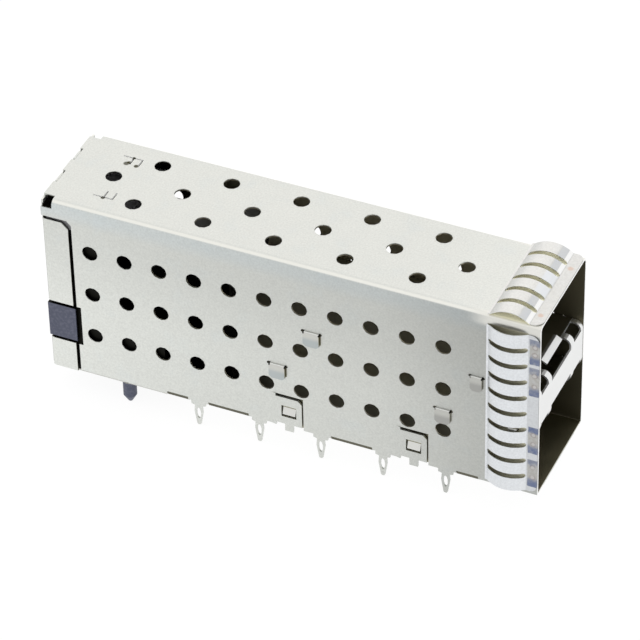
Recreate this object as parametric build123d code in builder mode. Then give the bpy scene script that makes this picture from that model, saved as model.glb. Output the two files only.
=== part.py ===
from build123d import *
from math import cos, pi, sin
import os

# Two-high pluggable transceiver cage for a circuit board: a folded steel shell with its floor, rear cover
# and separator, spring strips round the front, and the plastic connector with its contacts at the back.
# Millimetres. x runs across the ports, y from front to rear, z up from the board. The board's surface is
# z = 0 and the line through the two locating pegs is y = 0.

# Sheet and envelope
sheet = 0.25                # thickness of the folded sheets
fit_gap = 0.05              # play between sheets that slide past each other
port_width = 14.0           # inside width of a port
cage_length = 63.7          # front edge to rear face
cage_height = 25.8          # board to top face
wall_lift = 0.6             # lower edge of the side walls above the board
top_bend = 0.8              # outer radius of the two long top bends
peg_from_rear = 9.85        # locating pegs to rear face

# Vent holes
vent_diameter = 2.0         # across the flats
vent_sides = 10             # each vent is a regular polygon, which keeps the sheet's faces few
vent_pitch = 4.55           # along the cage
vent_row_pitch = 6.3        # up the wall
vent_from_front = 11.97     # front edge to the first column
vent_rear_margin = 5.0      # least distance from a column to the rear face
vent_drop = 0.2             # middle row below the middle of the wall
vent_edge_margin = 5.5      # least distance from a row to the wall's edges
top_vent_offset = 4.05      # outer rows of the top to its middle

# Press-fit tails and the bottom edge of the walls
tail_pitch = 8.08
tail_from_front = 11.64     # front edge to the first tail
tail_rear_margin = 19.0     # least distance from a tail to the rear face
tail_length = 2.95          # board surface to tip
shoulder_width = 1.9
shoulder_slope = 0.12       # rise of the shoulder from the neck to its ends
neck_width = 0.95
eye_width = 1.11
eye_depth = 0.95            # board surface to the widest place of the eye
eye_hole_width = 0.6
eye_hole_length = 1.7
eye_hole_depth = 1.15       # board surface to the middle of the eye's hole
eye_hole_sides = 10
tip_width = 0.5
tip_chamfer = 0.12
edge_notch_depth = 0.35     # shallow notches between tails that carry no ear
edge_notch_inset = 1.35     # tail to the notch's end
edge_notch_end_length = 2.8  # notches beyond the first and the last tail

# Latch ears of the walls and the floor's lances in their windows
ear_length = 3.4            # along the cage
ear_top = 5.1               # above the board
ear_slot = 0.35             # slot above the ear
ear_front_slot = 0.15       # slot before the ear
ear_jog = 0.12              # the ear stands out by this much
ear_jog_length = 0.6
ear_window_length = 1.95
ear_window_height = 1.7
ear_window_bottom = 2.15
ear_foot_length = 1.1
ear_bottom_gap = 0.45       # wall edge to the ear's own lower edge
ear_chamfer = 0.5           # upper front corner
lance_play = 0.15           # lance to the window's sides and top
lance_lift = 0.35           # its free lower edge above the window's lower edge
floor_bend = 0.2            # bevel along the floor's two long edges
floor_inset = 0.05          # the floor begins behind the front edge

# Rear: cover, flanges, comb along the top edge
flange_length = 3.5         # cover's side flanges along the cage
flange_gap = 0.45           # flange to wall
flange_top = 22.9
flange_bottom = 0.3
flange_chamfer = 0.6
cover_bend = 0.5
comb_pitch = 4.7            # notches in the top's rear edge, with the cover's teeth in them
comb_width = 2.4
comb_depth = 0.4
tooth_width = 1.6
tooth_drop = 0.2            # a tooth ends below the top face
corner_relief_length = 1.5  # openings at the ends of the top bends
corner_relief_width = 1.15
corner_relief_height = 1.2

# Retention tabs lanced in the top
hold_tab_x = 3.5
hold_tab_width = 1.3
hold_tab_length = 1.15
hold_tab_from_rear = 7.5
hold_tab_run = 1.3          # the outer cut goes on to the rear by this much
hold_cut = 0.2

# Separator between the ports
separator_height = 6.52     # over both decks
separator_drop = 0.16       # its middle below the middle between floor and ceiling
separator_bend = 1.0        # outer radius of its two front bends
bend_facets = 4             # flats in each of those bends
separator_inset = 0.05      # its front face lies behind the front edge
deck_clearance = 1.0        # end of the decks to the connector
window_width = 6.2          # opening in the bend for the tongue
window_drop = 1.43          # deck face to the window's edge in the front face
side_window_inner = 4.05
side_window_outer = 6.3
side_window_drop = 1.1
side_window_depth = 1.4     # on the deck, from the front face
tongue_width = 4.9
tongue_root = 13.0          # front edge to the tongue's root
tongue_tip = 1.0            # front edge to the tongue's lip
tongue_crest = 1.7          # front edge to its highest point
tongue_rise = 0.75
tongue_lip_drop = 0.4
tongue_hole_length = 2.2
tongue_hole_width = 2.6
tongue_hole_from_front = 4.2
tab_drop = 2.1              # folded end of a wall tab
tab_bend = 0.12             # outer edge of the fold, cut off by this much
tab_play = 0.02             # fold to its slot, above and below
tab_relief = 0.26           # half-diagonal of the relief holes at the ends of a tab's slot
relief_sides = 4
tab_chamfer = 0.35
strip_tabs = ((3.2, 1.1), (3.2, 1.1))       # upper and lower deck: front edge to the tab, its width
front_tabs = ((7.78, 1.5), (11.97, 1.95))   # the same for the tabs behind the spring strips
rear_tabs = ((10.35, 2.1), (5.8, 2.1))      # upper and lower deck: the deck's end to the tab, its width

# Spring strips round the front
spring_sheet = 0.1
spring_length = 6.6
spring_setback = 0.05
spring_collar = 1.45
finger_pitch = 2.375
finger_slot = 0.65
finger_trim = 0.25          # the two end fingers together are narrower by this much
slot_from_front = 1.5
slot_length = 4.8
spring_bow = 0.9
bow_crest = 3.95            # front edge to the crest
bow_shoulder = (2.6, 0.64)  # from the front, height
bow_foot = 6.35             # front edge to where the bow meets the sheet again
bow_facets = 2              # flats from the crest to the foot
collar_chamfer = 0.7        # front corners of a strip
top_strip_margin = 0.15     # least distance from a strip's ends to the edges of its face
side_strip_margin = 0.8
bottom_strip_margin = 1.2
side_strip_drop = 0.42      # middle of a side strip below the middle of the wall

# Connector housing
housing_play = 0.25         # housing to the walls
cover_play = 0.1            # housing to the rear cover
base_length = 14.95         # low body, from the end of the floor plate to the rear
floor_play = 0.1            # floor plate to the low body
block_length = 9.2          # tall block at the rear
block_clearance = 2.5       # block to the top
neck_half_width = 4.4       # body behind the upper nose
nose_from_rear = 23.7       # rear face to the face of the noses
nose_length = 7.0
nose_width = 11.2
nose_height = 5.4
nose_from_deck = 3.0        # card slot's middle to the deck beside it
card_slot_width = 9.5
card_slot_height = 1.3
card_slot_depth = 6.0
lug_length = 3.7
lug_bottom = 5.05
lug_top = 10.05
lug_gap = 0.4               # round the lug
lug_reach = 1.75            # across the rear face
peg_spacing = 12.0
peg_diameter = 1.7
peg_length = 3.2
peg_point = 1.0             # height of the tapered end
peg_tip = 0.55              # diameter of its flat tip
body_chamfer = 0.4

# Contacts
contact_columns = 10
contact_pitch = 0.8
contact_thickness = 0.3
contact_play = 0.02
contact_width = 0.4
contact_offset = 0.95       # middle of a beam to the middle of the card slot
contact_bump = 0.4          # the beam slopes in to this bump
bump_from_tip = 0.8
contact_tail = 2.2          # below the board
contact_front = 1.2         # nose face to the contact's end
tail_rows_from_rear = (2.5, 4.3, 7.1, 8.9)
channel_margin = 0.95       # channels beyond the middle of the beams

# Places worked out from the sizes above
rear = peg_from_rear
front = rear - cage_length
half_port = port_width / 2
half_width = half_port + sheet
cage_width = 2 * half_width
wall_height = cage_height - wall_lift
ceiling = cage_height - sheet
wall_middle = (wall_lift + cage_height) / 2
vent_middle = wall_middle - vent_drop
floor_top = wall_lift + sheet
deck_middle = (floor_top + ceiling) / 2 - separator_drop
deck_top = deck_middle + separator_height / 2
deck_bottom = deck_middle - separator_height / 2
flange_front = rear - flange_length
vent_columns = int((cage_length - vent_from_front - vent_rear_margin) / vent_pitch) + 1
vent_rows = int((wall_height - 2 * vent_edge_margin) / vent_row_pitch) + 1
tail_count = int((cage_length - tail_from_front - tail_rear_margin) / tail_pitch) + 1
tails = [front + tail_from_front + tail_pitch * i for i in range(tail_count)]
ears = [(tails[i] + tails[i + 1]) / 2 for i in range(0, tail_count - 1, 2)]
wall_inner_faces = (Plane.YZ.offset(half_port), Plane.YZ.offset(-half_width))
nose_face = rear - nose_from_rear
deck_end = nose_face - deck_clearance
body_front = nose_face + nose_length
body_rear = rear - sheet - cover_play
base_front = body_rear - base_length
floor_end = base_front - floor_play
block_front = body_rear - block_length
housing_half = half_port - housing_play
upper_slot = deck_top + nose_from_deck
lower_slot = deck_bottom - nose_from_deck
contact_columns_x = [contact_pitch * (i - (contact_columns - 1) / 2) for i in range(contact_columns)]


def deck_tabs():
    """Each wall tab of the separator: middle along y, width, and the underside of its deck."""
    undersides = (deck_top - sheet, deck_bottom)
    strip_row = [(front + place, width, z) for (place, width), z in zip(strip_tabs, undersides)]
    front_row = [(front + place, width, z) for (place, width), z in zip(front_tabs, undersides)]
    rear_row = [(deck_end - place, width, z) for (place, width), z in zip(rear_tabs, undersides)]
    return strip_row + front_row + rear_row


def edge_notches():
    """Middle and length of each shallow notch in the walls' lower edge."""
    inner = [(tails[i] + tails[i + 1]) / 2 for i in range(1, tail_count - 1, 2)]
    notches = [(middle, tail_pitch - 2 * edge_notch_inset) for middle in inner]
    end_reach = edge_notch_inset + edge_notch_end_length / 2
    notches.append((tails[0] - end_reach, edge_notch_end_length))
    notches.append((tails[-1] + end_reach, edge_notch_end_length))
    return notches


# Cage shell: top and two walls from one sheet
with BuildPart() as cage_shell:
    with BuildSketch(Plane.XZ.offset(-rear)) as shell_section:
        with Locations((0, wall_lift)):
            Rectangle(cage_width, wall_height, align=(Align.CENTER, Align.MIN))
        fillet(shell_section.vertices().group_by(Axis.Y)[-1], top_bend)
        with Locations((0, wall_lift)):
            Rectangle(port_width, wall_height - sheet, align=(Align.CENTER, Align.MIN), mode=Mode.SUBTRACT)
        fillet(shell_section.vertices().group_by(Axis.Y)[-2], top_bend - sheet)
    extrude(amount=cage_length)

    # Slots for the separator's tabs, with a relief hole at each end
    with BuildSketch(Plane.YZ) as tab_slots:
        for middle, width, underside in deck_tabs():
            with Locations((middle, underside + sheet / 2)):
                Rectangle(width + 2 * fit_gap, sheet + 2 * tab_play)
                with GridLocations(width + 2 * fit_gap, 0, 2, 1):
                    RegularPolygon(tab_relief, relief_sides)
    extrude(amount=cage_width, both=True, mode=Mode.SUBTRACT)

    # Lower edge: notches, and the cut that frees each ear
    ear_cut_height = ear_top + ear_slot - wall_lift
    with BuildSketch(Plane.YZ) as edge_cuts:
        for middle, length in edge_notches():
            with Locations((middle, wall_lift)):
                Rectangle(length, 2 * edge_notch_depth)
        for middle in ears:
            with Locations((middle - ear_front_slot / 2, wall_lift)):
                Rectangle(ear_length + ear_front_slot, ear_cut_height, align=(Align.CENTER, Align.MIN))
            with Locations((middle + ear_length / 2, wall_lift)):
                Rectangle(ear_jog_length, ear_cut_height, align=(Align.MIN, Align.MIN))
    extrude(amount=cage_width, both=True, mode=Mode.SUBTRACT)

    # Ears, joined to the wall at their rear side by a small jog
    for side in (-1, 1):
        with BuildSketch(Plane.XY.offset(wall_lift + ear_bottom_gap)) as ear_plan:
            for middle in ears:
                near = middle - ear_length / 2
                far = middle + ear_length / 2
                with BuildLine():
                    Polyline(
                        (side * half_port, far + ear_jog_length),
                        (side * (half_port + ear_jog), far),
                        (side * (half_port + ear_jog), near),
                        (side * (half_width + ear_jog), near),
                        (side * (half_width + ear_jog), far),
                        (side * half_width, far + ear_jog_length),
                        close=True,
                    )
                make_face()
        extrude(amount=ear_top - wall_lift - ear_bottom_gap)
        with BuildSketch(Plane.XY.offset(wall_lift)) as ear_root:
            for middle in ears:
                far = middle + ear_length / 2
                with BuildLine():
                    Polyline(
                        (side * half_port, far + ear_jog_length),
                        (side * (half_port + ear_jog), far),
                        (side * (half_width + ear_jog), far),
                        (side * half_width, far + ear_jog_length),
                        close=True,
                    )
                make_face()
        extrude(amount=ear_cut_height)
        with BuildSketch(Plane.YZ.offset(side * (half_port + ear_jog))) as ear_feet:
            with Locations(*[(middle, 0) for middle in ears]):
                Rectangle(ear_foot_length, wall_lift + ear_bottom_gap, align=(Align.CENTER, Align.MIN))
        extrude(amount=side * sheet)
    with BuildSketch(Plane.YZ) as ear_windows:
        with Locations(*[(middle, ear_window_bottom) for middle in ears]):
            Rectangle(ear_window_length, ear_window_height, align=(Align.CENTER, Align.MIN))
        for middle in ears:
            near = middle - ear_length / 2
            with BuildLine():
                Polyline(
                    (near, ear_top),
                    (near + ear_chamfer, ear_top),
                    (near, ear_top - ear_chamfer),
                    close=True,
                )
            make_face()
    extrude(amount=cage_width, both=True, mode=Mode.SUBTRACT)

    # Press-fit tails: shoulder on the board, neck, sprung eye and tip
    half_outline = [
        (shoulder_width / 2, wall_lift + sheet),
        (shoulder_width / 2, shoulder_slope),
        (neck_width / 2, 0),
        (eye_width / 2, -eye_depth),
        (tip_width / 2, tip_chamfer - tail_length),
        (tip_width / 2 - tip_chamfer, -tail_length),
    ]
    hole_angles = [2 * pi * i / eye_hole_sides for i in range(eye_hole_sides)]
    eye_hole = [
        (eye_hole_width / 2 * sin(a), eye_hole_length / 2 * cos(a) - eye_hole_depth)
        for a in hole_angles
    ]
    for wall_face in wall_inner_faces:
        with BuildSketch(wall_face) as tail_outline:
            for place in tails:
                with BuildLine():
                    right = [(place + y, z) for y, z in half_outline]
                    left = [(place - y, z) for y, z in reversed(half_outline)]
                    Polyline(*right, *left, close=True)
                make_face()
            for place in tails:
                with BuildLine():
                    Polyline(*[(place + y, z) for y, z in eye_hole], close=True)
                make_face(mode=Mode.SUBTRACT)
        extrude(amount=sheet)

    # Rear: walls cut back for the cover's flanges and the connector's lugs
    with BuildSketch(Plane.YZ) as rear_cut:
        with Locations((rear, 0)):
            Rectangle(flange_length + flange_gap, flange_top + flange_gap, align=(Align.MAX, Align.MIN))
        chamfer(rear_cut.vertices().group_by(Axis.Y)[-1].sort_by(Axis.X)[0], flange_chamfer)
        with Locations((rear, lug_bottom - lug_gap)):
            Rectangle(
                lug_length + 2 * lug_gap,
                lug_top - lug_bottom + 2 * lug_gap,
                align=(Align.MAX, Align.MIN),
            )
    extrude(amount=cage_width, both=True, mode=Mode.SUBTRACT)

    # Comb in the top's rear edge, reliefs at the ends of the bends, retention tabs
    with BuildSketch(Plane.XY.offset(cage_height)) as top_cuts:
        with Locations((0, rear)):
            with GridLocations(comb_pitch, 0, 2, 1):
                Rectangle(comb_width, comb_depth, align=(Align.CENTER, Align.MAX))
        for side in (-1, 1):
            tab_middle = rear - hold_tab_from_rear
            outer_cut = side * (hold_tab_x + hold_tab_width / 2)
            with Locations((side * hold_tab_x, tab_middle)):
                with GridLocations(0, hold_tab_length, 1, 2):
                    Rectangle(hold_tab_width, hold_cut)
            with Locations((outer_cut, tab_middle + hold_tab_run / 2)):
                Rectangle(hold_cut, hold_tab_length + hold_tab_run + hold_cut)
    extrude(amount=-2 * sheet, mode=Mode.SUBTRACT)
    with BuildSketch(Plane.XY.offset(cage_height)) as bend_reliefs:
        for side in (-1, 1):
            with Locations((side * half_width, rear)):
                Rectangle(2 * corner_relief_width, 2 * corner_relief_length)
    extrude(amount=-corner_relief_height, mode=Mode.SUBTRACT)

    # Vents through both walls and through the top
    with BuildSketch(Plane.YZ) as side_vents:
        first_column = front + vent_from_front
        last_column = first_column + vent_pitch * (vent_columns - 1)
        with Locations(((first_column + last_column) / 2, vent_middle)):
            with GridLocations(vent_pitch, vent_row_pitch, vent_columns, vent_rows):
                RegularPolygon(vent_diameter / 2, vent_sides, major_radius=False)
    extrude(amount=cage_width, both=True, mode=Mode.SUBTRACT)
    with BuildSketch(Plane.XY.offset(cage_height)) as top_vents:
        for column in range(vent_columns):
            row_places = (0,) if column % 2 == 0 else (-top_vent_offset, top_vent_offset)
            with Locations(*[(x, first_column + vent_pitch * column) for x in row_places]):
                RegularPolygon(vent_diameter / 2, vent_sides, major_radius=False)
    extrude(amount=-2 * sheet, mode=Mode.SUBTRACT)
cage_shell.part.label = "cage_shell"

# Floor of the lower port, with flanges behind the ears and a lance in each ear's window
floor_half = half_port - fit_gap
flange_reach = ear_length / 2 + ear_jog_length
lance_top = ear_window_bottom + ear_window_height - lance_play
lance_bottom = ear_window_bottom + lance_lift
with BuildPart() as bottom_plate:
    with BuildSketch(Plane.XY.offset(wall_lift)) as floor_outline:
        with Locations((0, floor_end)):
            Rectangle(2 * floor_half, floor_end - front - floor_inset, align=(Align.CENTER, Align.MAX))
    extrude(amount=sheet)
    for side in (-1, 1):
        with BuildSketch(Plane.YZ.offset(side * floor_half)) as floor_flange:
            with Locations(*[(middle, wall_lift) for middle in ears]):
                Rectangle(2 * flange_reach, ear_top - wall_lift, align=(Align.CENTER, Align.MIN))
            with Locations(*[(middle, lance_bottom) for middle in ears]):
                Rectangle(
                    ear_window_length - 2 * lance_play,
                    lance_top - lance_bottom,
                    align=(Align.CENTER, Align.MIN),
                    mode=Mode.SUBTRACT,
                )
        extrude(amount=-side * sheet)
        for middle in ears:
            with BuildSketch(Plane.XZ.offset(-middle)) as lance:
                with BuildLine():
                    Polyline(
                        (side * (floor_half - sheet), lance_top),
                        (side * floor_half, lance_top),
                        (side * (half_width + ear_jog), lance_bottom),
                        (side * (half_port + ear_jog), lance_bottom),
                        close=True,
                    )
                make_face()
            extrude(amount=ear_window_length / 2 - lance_play, both=True)
    chamfer(bottom_plate.edges().filter_by(Axis.Y).group_by(Axis.Z)[0], floor_bend)
bottom_plate.part.label = "bottom_plate"

# Rear cover: back plate, side flanges flush with the walls, teeth in the top's comb
with BuildPart() as rear_cover:
    with BuildSketch(Plane.XY.offset(flange_bottom)) as cover_plan:
        with Locations((0, rear)):
            Rectangle(cage_width, flange_length, align=(Align.CENTER, Align.MAX))
        fillet(cover_plan.vertices().group_by(Axis.Y)[-1], cover_bend)
        with Locations((0, rear - sheet)):
            Rectangle(port_width, flange_length, align=(Align.CENTER, Align.MAX), mode=Mode.SUBTRACT)
        fillet(cover_plan.vertices().group_by(Axis.Y)[-3], cover_bend - sheet)
    extrude(amount=flange_top - flange_bottom)
    with BuildSketch(Plane.XZ.offset(-rear)) as cover_top:
        with Locations((0, flange_top - cover_bend)):
            Rectangle(
                port_width - 2 * fit_gap,
                ceiling - fit_gap - flange_top + cover_bend,
                align=(Align.CENTER, Align.MIN),
            )
        with Locations((0, ceiling - fit_gap)):
            with GridLocations(comb_pitch, 0, 2, 1):
                Rectangle(tooth_width, sheet + fit_gap - tooth_drop, align=(Align.CENTER, Align.MIN))
    extrude(amount=sheet)
    with BuildSketch(Plane.YZ) as flange_corners:
        with Locations((flange_front, flange_top)):
            Rectangle(2 * flange_chamfer, 2 * flange_chamfer, rotation=45)
    extrude(amount=cage_width, both=True, mode=Mode.SUBTRACT)
    with BuildSketch(Plane.XZ.offset(-rear)) as lug_windows:
        for side in (-1, 1):
            with Locations((side * half_width, (lug_bottom + lug_top) / 2)):
                Rectangle(2 * (lug_reach + lug_gap), lug_top - lug_bottom + 2 * lug_gap)
    extrude(amount=flange_length, mode=Mode.SUBTRACT)
rear_cover.part.label = "rear_cover"

# Separator: two decks and the front face between the ports, folded from one sheet
with BuildPart() as separator:
    with BuildSketch(Plane.YZ) as separator_section:
        with BuildLine():
            face_core = front + separator_inset + sheet / 2
            core_radius = separator_bend - sheet / 2
            core_reach = (separator_height - sheet) / 2
            turns = [pi / 2 * i / bend_facets for i in range(bend_facets + 1)]
            bend = [
                (face_core + core_radius * (1 - sin(a)), core_reach - core_radius * (1 - cos(a)))
                for a in turns
            ]
            Polyline(
                (deck_end, deck_middle + core_reach),
                *[(y, deck_middle + reach) for y, reach in bend],
                *[(y, deck_middle - reach) for y, reach in reversed(bend)],
                (deck_end, deck_middle - core_reach),
            )
        trace(line_width=sheet)
    extrude(amount=half_port - fit_gap, both=True)

    # Openings through the bends, alike above and below
    for up in (-1, 1):
        with BuildSketch(Plane.XZ.offset(-front)) as bend_windows:
            face = deck_middle + up * separator_height / 2
            with Locations((0, face)):
                Rectangle(window_width, 2 * window_drop)
        extrude(amount=-tongue_root, mode=Mode.SUBTRACT)
        with BuildSketch(Plane.XZ.offset(-front)) as side_windows:
            for side in (-1, 1):
                middle = side * (side_window_inner + side_window_outer) / 2
                with Locations((middle, face)):
                    Rectangle(side_window_outer - side_window_inner, 2 * side_window_drop)
        extrude(amount=-side_window_depth, mode=Mode.SUBTRACT)

    # Latch tongues, sprung into the ports, with the hole that takes a module's catch
    for up in (-1, 1):
        deck_core = deck_middle + up * (separator_height - sheet) / 2
        with BuildSketch(Plane.YZ) as tongue:
            with BuildLine():
                Polyline(
                    (front + tongue_root, deck_core),
                    (front + tongue_crest, deck_core + up * tongue_rise),
                    (front + tongue_tip, deck_core + up * (tongue_rise - tongue_lip_drop)),
                )
            trace(line_width=sheet)
        extrude(amount=tongue_width / 2, both=True)
    with BuildSketch(Plane.XY.offset(deck_middle)) as catch_holes:
        with Locations((0, front + tongue_hole_from_front)):
            Rectangle(tongue_hole_width, tongue_hole_length, align=(Align.CENTER, Align.MIN))
    extrude(amount=separator_height, both=True, mode=Mode.SUBTRACT)

    # Tabs through the walls, folded down outside, with their lower corners cut off
    tab_inner = half_width + fit_gap
    tab_root = half_port - fit_gap - sheet
    for middle, width, underside in deck_tabs():
        for side in (-1, 1):
            with BuildSketch(Plane.XZ.offset(-middle)) as tab_fold:
                with Locations((side * tab_root, underside)):
                    inward = Align.MIN if side > 0 else Align.MAX
                    Rectangle(tab_inner + sheet - tab_root, sheet, align=(inward, Align.MIN))
                upper_corners = tab_fold.vertices().group_by(Axis.Y)[-1].sort_by(Axis.X)
                chamfer(upper_corners[-1 if side > 0 else 0], tab_bend)
            extrude(amount=width / 2, both=True)
            with BuildSketch(Plane.YZ.offset(side * tab_inner)) as tab_leaf:
                with Locations((middle, underside)):
                    Rectangle(width, tab_drop - sheet, align=(Align.CENTER, Align.MAX))
                chamfer(tab_leaf.vertices().group_by(Axis.Y)[0], tab_chamfer)
            extrude(amount=side * sheet)
separator.part.label = "separator"


def spring_strip(base, fingers):
    """Strip of bowed fingers on a plane whose x runs along the strip and whose y runs to the rear."""
    half_strip = (fingers * finger_pitch - finger_trim) / 2
    core = spring_sheet / 2
    fall = bow_foot - bow_crest
    steps = [i / bow_facets for i in range(bow_facets + 1)]
    with BuildPart() as strip:
        with BuildSketch(Plane(base.origin, x_dir=base.y_dir, z_dir=base.x_dir)) as bow:
            with BuildLine():
                Polyline(
                    (spring_setback, core),
                    (spring_collar, core),
                    (bow_shoulder[0], core + bow_shoulder[1]),
                    *[(bow_crest + fall * t, core + spring_bow * (1 - t * t)) for t in steps],
                    (spring_length, core),
                )
            trace(line_width=spring_sheet)
        extrude(amount=half_strip, both=True)
        with BuildSketch(base) as slots:
            with Locations((0, slot_from_front)):
                with GridLocations(finger_pitch, 0, fingers - 1, 1):
                    Rectangle(finger_slot, slot_length, align=(Align.CENTER, Align.MIN))
        extrude(amount=2 * spring_bow, both=True, mode=Mode.SUBTRACT)
        collar_corners = strip.edges().filter_by(Axis(base.origin, base.z_dir))
        front_pair = collar_corners.sort_by(lambda e: (e.center() - base.origin).dot(base.y_dir))[:2]
        chamfer(front_pair, collar_chamfer)
    return strip.part


top_base = Plane((0, front, cage_height), x_dir=(1, 0, 0), z_dir=(0, 0, 1))
left_base = Plane((-half_width, front, wall_middle - side_strip_drop), x_dir=(0, 0, 1), z_dir=(-1, 0, 0))
right_base = Plane((half_width, front, wall_middle - side_strip_drop), x_dir=(0, 0, -1), z_dir=(1, 0, 0))
bottom_base = Plane((0, front, wall_lift), x_dir=(-1, 0, 0), z_dir=(0, 0, -1))
top_fingers = int((cage_width - 2 * top_strip_margin + finger_trim) / finger_pitch)
side_fingers = int((wall_height - 2 * side_strip_margin + finger_trim) / finger_pitch)
bottom_fingers = int((cage_width - 2 * bottom_strip_margin + finger_trim) / finger_pitch)
springs = {
    "emi_spring_top": spring_strip(top_base, top_fingers),
    "emi_spring_left": spring_strip(left_base, side_fingers),
    "emi_spring_right": spring_strip(right_base, side_fingers),
    "emi_spring_bottom": spring_strip(bottom_base, bottom_fingers),
}

# Connector housing: two noses with card slots, body, tall rear block, side lugs and locating pegs
body_top = deck_bottom
channel_width = contact_thickness + 2 * contact_play
channel_top = upper_slot + contact_offset + channel_margin
with BuildPart() as connector_housing:
    with BuildSketch(Plane.XY) as base_outline:
        with Locations((0, body_rear)):
            Rectangle(2 * housing_half, base_length, align=(Align.CENTER, Align.MAX))
    extrude(amount=body_top)
    with BuildSketch(Plane.XY) as block_outline:
        with Locations((0, body_rear)):
            Rectangle(2 * housing_half, block_length, align=(Align.CENTER, Align.MAX))
    extrude(amount=ceiling - block_clearance)
    with BuildSketch(Plane.XY.offset(floor_top + fit_gap)) as neck_outline:
        with Locations((0, body_front)):
            Rectangle(2 * neck_half_width, block_front - body_front, align=(Align.CENTER, Align.MIN))
    extrude(amount=channel_top - floor_top)
    for slot_height in (lower_slot, upper_slot):
        with BuildSketch(Plane.XZ.offset(-nose_face)) as nose:
            with Locations((0, slot_height)):
                Rectangle(nose_width, nose_height)
            chamfer(nose.vertices(), body_chamfer)
        extrude(amount=-nose_length)
        with BuildSketch(Plane.XZ.offset(-nose_face)) as card_slot:
            with Locations((0, slot_height)):
                Rectangle(card_slot_width, card_slot_height)
        extrude(amount=-card_slot_depth, mode=Mode.SUBTRACT)
    with BuildSketch(Plane.XZ.offset(-rear)) as lugs:
        with Locations((0, lug_bottom)):
            Rectangle(cage_width, lug_top - lug_bottom, align=(Align.CENTER, Align.MIN))
    extrude(amount=lug_length)
    with BuildSketch(Plane.XZ.offset(-rear)) as behind_cover:
        Rectangle(cage_width - 2 * lug_reach, 2 * cage_height)
    extrude(amount=rear - body_rear, mode=Mode.SUBTRACT)

    # One upright channel for each column of four contacts, open below
    channel_front = nose_face + contact_front - contact_width / 2 - contact_play
    channel_rear = rear - tail_rows_from_rear[0] + contact_width
    reach = contact_offset + channel_margin
    for x in contact_columns_x:
        with BuildSketch(Plane.YZ.offset(x)) as channel:
            with BuildLine():
                Polyline(
                    (channel_front, upper_slot + reach),
                    (channel_rear, upper_slot + reach),
                    (channel_rear, 0),
                    (body_front, 0),
                    (body_front, lower_slot - reach),
                    (channel_front, lower_slot - reach),
                    (channel_front, lower_slot + reach),
                    (body_front, lower_slot + reach),
                    (body_front, upper_slot - reach),
                    (channel_front, upper_slot - reach),
                    close=True,
                )
            make_face()
        extrude(amount=channel_width / 2, both=True, mode=Mode.SUBTRACT)

    # Locating pegs with pointed ends
    for side in (-1, 1):
        with BuildSketch(Plane.XZ) as peg_half:
            with BuildLine():
                Polyline(
                    (side * peg_spacing / 2, 0),
                    (side * (peg_spacing + peg_diameter) / 2, 0),
                    (side * (peg_spacing + peg_diameter) / 2, peg_point - peg_length),
                    (side * (peg_spacing + peg_tip) / 2, -peg_length),
                    (side * peg_spacing / 2, -peg_length),
                    close=True,
                )
            make_face()
        revolve(axis=Axis((side * peg_spacing / 2, 0, 0), (0, 0, 1)))
connector_housing.part.label = "connector_housing"


def contact_solid(x, slot_height, up, tail_from_rear):
    """Stamped contact: sprung beam in the card slot, run to the rear, leg down to the tail in the board."""
    tip = nose_face + contact_front
    beam = slot_height + up * contact_offset
    leg = rear - tail_from_rear
    with BuildPart() as contact:
        with BuildSketch(Plane.YZ.offset(x)) as outline:
            with BuildLine():
                Polyline(
                    (tip, beam),
                    (tip + bump_from_tip, beam - up * contact_bump),
                    (leg, beam),
                    (leg, -contact_tail),
                )
            trace(line_width=contact_width)
        extrude(amount=contact_thickness / 2, both=True)
    return contact.part


contact_rows = {
    "upper_top": (upper_slot, 1),
    "upper_bottom": (upper_slot, -1),
    "lower_top": (lower_slot, 1),
    "lower_bottom": (lower_slot, -1),
}
contacts = {}
for (row, (slot_height, up)), tail_from_rear in zip(contact_rows.items(), tail_rows_from_rear):
    for number, x in enumerate(contact_columns_x, start=1):
        contacts[f"contact_{row}_{number}"] = contact_solid(x, slot_height, up, tail_from_rear)

os.makedirs("parts", exist_ok=True)
for sub_part in (cage_shell, bottom_plate, rear_cover, separator, connector_housing):
    export_step(sub_part.part, f"parts/{sub_part.part.label}.step")
for name, solid in {**springs, **contacts}.items():
    solid.label = name
    export_step(solid, f"parts/{name}.step")
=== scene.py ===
import math

import bpy
import numpy as np
from bpy.props import FloatProperty, FloatVectorProperty, IntProperty, PointerProperty
from mathutils import Matrix, Vector


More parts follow.
